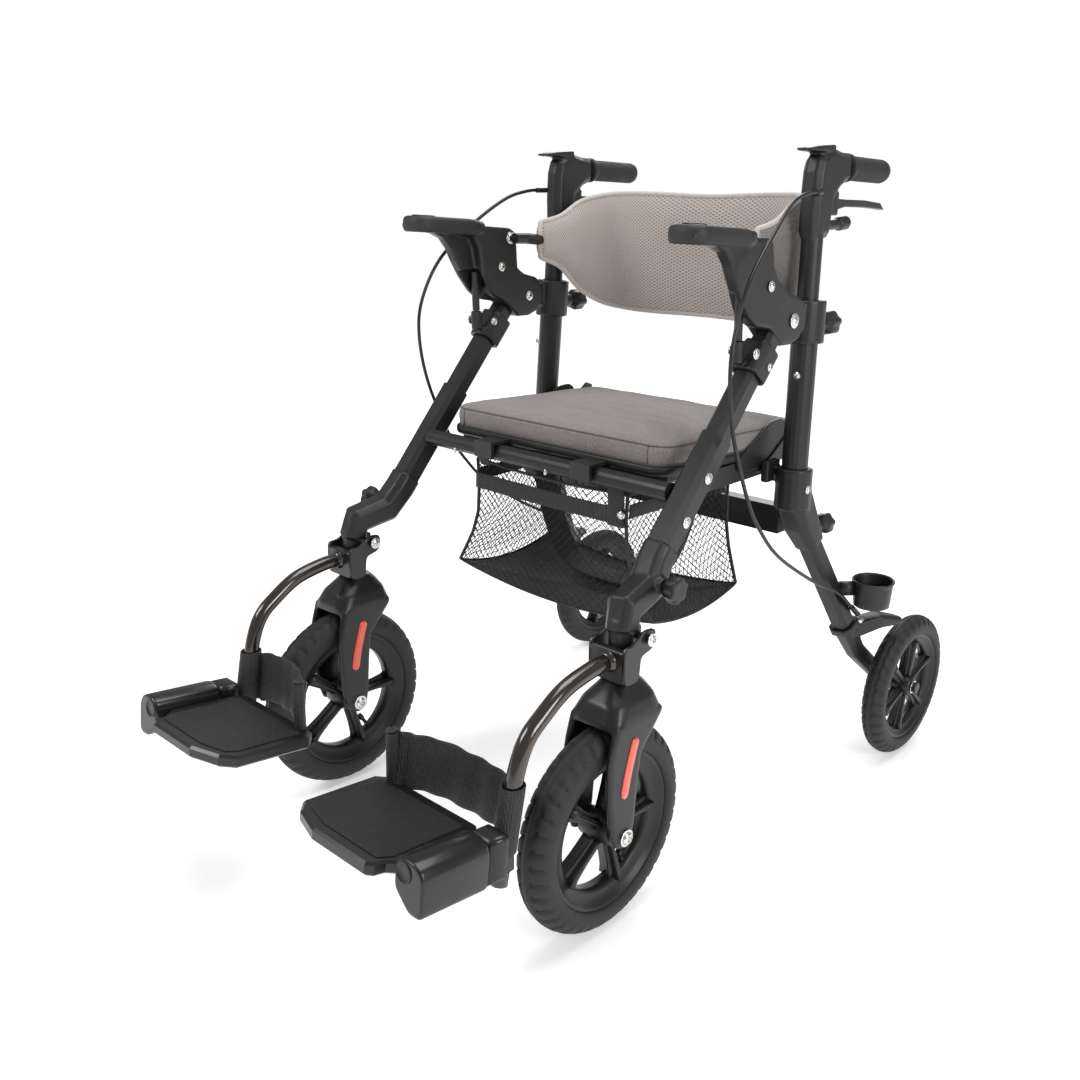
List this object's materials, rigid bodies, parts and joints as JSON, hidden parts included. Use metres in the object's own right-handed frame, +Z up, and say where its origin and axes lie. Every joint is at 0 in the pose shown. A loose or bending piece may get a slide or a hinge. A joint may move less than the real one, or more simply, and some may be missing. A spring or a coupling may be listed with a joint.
{
  "type": "rollator walker",
  "caption": "Folding wheeled walker and transport chair with padded seat, backrest, basket, castering front wheels, hand brakes, swing-away footrests and a cup holder.",
  "frame": {"origin": "on the floor under the middle of the overall footprint", "axes": "+Z up, the front of the walker (its large wheels and footrests) towards -Y, the walker's left towards +X"},
  "size_m": [0.652, 1.036, 0.867],
  "materials": {
    "frame_paint": "matt black powder coat",
    "moulded_black": "fine-grained black moulding",
    "gloss_black": "glossy brown-black lacquer on steel",
    "grip_rubber": "soft black grip rubber",
    "cable_jacket": "black cable jacket",
    "tyre_rubber": "dark rubber with a shallow tread",
    "rim_plastic": "satin black moulded rim",
    "webbing": "black woven webbing",
    "seat_fabric": "taupe grey woven cover",
    "basket_net": "black net with a solid lower part",
    "air_mesh": "light beige air mesh"
  },
  "bodies": {
    "rear_frame": {"left_rear_bracket": "moulded_black", "left_rear_leg": "frame_paint", "left_rear_fork": "moulded_black", "left_upright_tube": "frame_paint", "left_clamp": "moulded_black", "left_brake_cable": "cable_jacket", "right_rear_bracket": "moulded_black", "right_rear_leg": "frame_paint", "right_rear_fork": "moulded_black", "right_upright_tube": "frame_paint", "right_clamp": "moulded_black", "right_brake_cable": "cable_jacket", "rear_crossbar": "frame_paint", "cup_holder": "moulded_black", "basket": "basket_net"},
    "front_frame": {"left_front_leg": "frame_paint", "left_knee_socket": "moulded_black", "left_armrest": "moulded_black", "left_strut": "frame_paint", "left_strut_collar": "moulded_black", "right_front_leg": "frame_paint", "right_knee_socket": "moulded_black", "right_armrest": "moulded_black", "right_strut": "frame_paint", "right_strut_collar": "moulded_black", "front_crossbar": "frame_paint"},
    "seat": {"seat_cushion": "seat_fabric", "seat_board": "moulded_black"},
    "backrest": {"backrest_bar": "frame_paint", "backrest_pad": "air_mesh"},
    "left_handle": {"left_handle_post": "moulded_black", "left_grip": "grip_rubber"},
    "left_lever": {"left_brake_lever": "gloss_black"},
    "left_clamp_screw": {"left_clamp_knob": "moulded_black"},
    "left_rear_screw": {"left_rear_knob": "moulded_black"},
    "left_knee_screw": {"left_knee_knob": "moulded_black"},
    "left_caster": {"left_caster_fork": "moulded_black"},
    "left_front_wheel": {"left_front_tyre": "tyre_rubber", "left_front_rim": "rim_plastic"},
    "left_rear_wheel": {"left_rear_tyre": "tyre_rubber", "left_rear_rim": "rim_plastic"},
    "left_footrest": {"left_footrest": "gloss_black", "left_calf_strap": "webbing"},
    "left_footplate": {"left_footplate": "moulded_black"},
    "right_handle": {"right_handle_post": "moulded_black", "right_grip": "grip_rubber"},
    "right_lever": {"right_brake_lever": "gloss_black"},
    "right_clamp_screw": {"right_clamp_knob": "moulded_black"},
    "right_rear_screw": {"right_rear_knob": "moulded_black"},
    "right_knee_screw": {"right_knee_knob": "moulded_black"},
    "right_caster": {"right_caster_fork": "moulded_black"},
    "right_front_wheel": {"right_front_tyre": "tyre_rubber", "right_front_rim": "rim_plastic"},
    "right_rear_wheel": {"right_rear_tyre": "tyre_rubber", "right_rear_rim": "rim_plastic"},
    "right_footrest": {"right_footrest": "gloss_black", "right_calf_strap": "webbing"},
    "right_footplate": {"right_footplate": "moulded_black"}
  },
  "joints": [
    {"name": "frame_fold", "type": "hinge", "parent": "rear_frame", "child": "front_frame", "pos_m": [0, 0.129, 0.665], "axis": [1, 0, 0], "range_deg": [0, 25], "deforming": ["basket"]},
    {"name": "seat_lift", "type": "hinge", "parent": "rear_frame", "child": "seat", "pos_m": [0, 0.164, 0.466], "axis": [-1, 0, 0], "range_deg": [0, 50]},
    {"name": "backrest_swing", "type": "hinge", "parent": "front_frame", "child": "backrest", "pos_m": [0, 0.091, 0.748], "axis": [-1, 0, 0], "range_deg": [-190, 0]},
    {"name": "left_handle_height", "type": "slide", "parent": "rear_frame", "child": "left_handle", "axis": [-0.0287, 0.0514, 0.9983], "range_m": [-0.045, 0.06], "deforming": ["left_brake_cable"]},
    {"name": "left_brake", "type": "hinge", "parent": "left_handle", "child": "left_lever", "pos_m": [0.214, 0.235, 0.797], "axis": [1, 0, 0], "range_deg": [-10, 8], "stiffness_Nm_per_rad": 4},
    {"name": "left_clamp_turn", "type": "hinge", "parent": "rear_frame", "child": "left_clamp_screw", "pos_m": [0.219, 0.246, 0.65], "axis": [0, 1, 0], "continuous": true},
    {"name": "left_rear_screw_turn", "type": "hinge", "parent": "rear_frame", "child": "left_rear_screw", "pos_m": [0.231, 0.259, 0.378], "axis": [0, 1, 0], "continuous": true},
    {"name": "left_knee_screw_turn", "type": "hinge", "parent": "front_frame", "child": "left_knee_screw", "pos_m": [0.266, -0.128, 0.397], "axis": [1, 0, 0], "continuous": true},
    {"name": "left_swivel", "type": "hinge", "parent": "front_frame", "child": "left_caster", "pos_m": [0.241, -0.184, 0.3], "axis": [0, 0, 1], "continuous": true},
    {"name": "left_front_spin", "type": "hinge", "parent": "left_caster", "child": "left_front_wheel", "pos_m": [0.2414, -0.214, 0.127], "axis": [1, 0, 0], "continuous": true},
    {"name": "left_rear_spin", "type": "hinge", "parent": "rear_frame", "child": "left_rear_wheel", "pos_m": [0.302, 0.411, 0.107], "axis": [1, 0, 0], "continuous": true},
    {"name": "left_footrest_lift", "type": "hinge", "parent": "front_frame", "child": "left_footrest", "pos_m": [0.241, -0.169, 0.351], "axis": [1, 0, 0], "range_deg": [-10, 0]},
    {"name": "left_footplate_flip", "type": "hinge", "parent": "left_footrest", "child": "left_footplate", "pos_m": [0.24, -0.40412, 0.19901], "axis": [0, 0.9925, -0.1219], "range_deg": [0, 90], "deforming": ["left_calf_strap"]},
    {"name": "right_handle_height", "type": "slide", "parent": "rear_frame", "child": "right_handle", "axis": [0.0287, 0.0514, 0.9983], "range_m": [-0.045, 0.06], "deforming": ["right_brake_cable"]},
    {"name": "right_brake", "type": "hinge", "parent": "right_handle", "child": "right_lever", "pos_m": [-0.214, 0.235, 0.797], "axis": [1, 0, 0], "range_deg": [-10, 8], "stiffness_Nm_per_rad": 4},
    {"name": "right_clamp_turn", "type": "hinge", "parent": "rear_frame", "child": "right_clamp_screw", "pos_m": [-0.219, 0.246, 0.65], "axis": [0, 1, 0], "continuous": true},
    {"name": "right_rear_screw_turn", "type": "hinge", "parent": "rear_frame", "child": "right_rear_screw", "pos_m": [-0.231, 0.259, 0.378], "axis": [0, 1, 0], "continuous": true},
    {"name": "right_knee_screw_turn", "type": "hinge", "parent": "front_frame", "child": "right_knee_screw", "pos_m": [-0.266, -0.128, 0.397], "axis": [1, 0, 0], "continuous": true},
    {"name": "right_swivel", "type": "hinge", "parent": "front_frame", "child": "right_caster", "pos_m": [-0.241, -0.184, 0.3], "axis": [0, 0, 1], "continuous": true},
    {"name": "right_front_spin", "type": "hinge", "parent": "right_caster", "child": "right_front_wheel", "pos_m": [-0.2414, -0.214, 0.127], "axis": [1, 0, 0], "continuous": true},
    {"name": "right_rear_spin", "type": "hinge", "parent": "rear_frame", "child": "right_rear_wheel", "pos_m": [-0.302, 0.411, 0.107], "axis": [1, 0, 0], "continuous": true},
    {"name": "right_footrest_lift", "type": "hinge", "parent": "front_frame", "child": "right_footrest", "pos_m": [-0.241, -0.169, 0.351], "axis": [1, 0, 0], "range_deg": [-10, 0]},
    {"name": "right_footplate_flip", "type": "hinge", "parent": "right_footrest", "child": "right_footplate", "pos_m": [-0.24, -0.40412, 0.19901], "axis": [0, -0.9925, 0.1219], "range_deg": [0, 90], "deforming": ["right_calf_strap"]}
  ],
  "couplings": [
    {"joint": "seat_lift", "follows": "frame_fold", "ratio": 2}
  ]
}
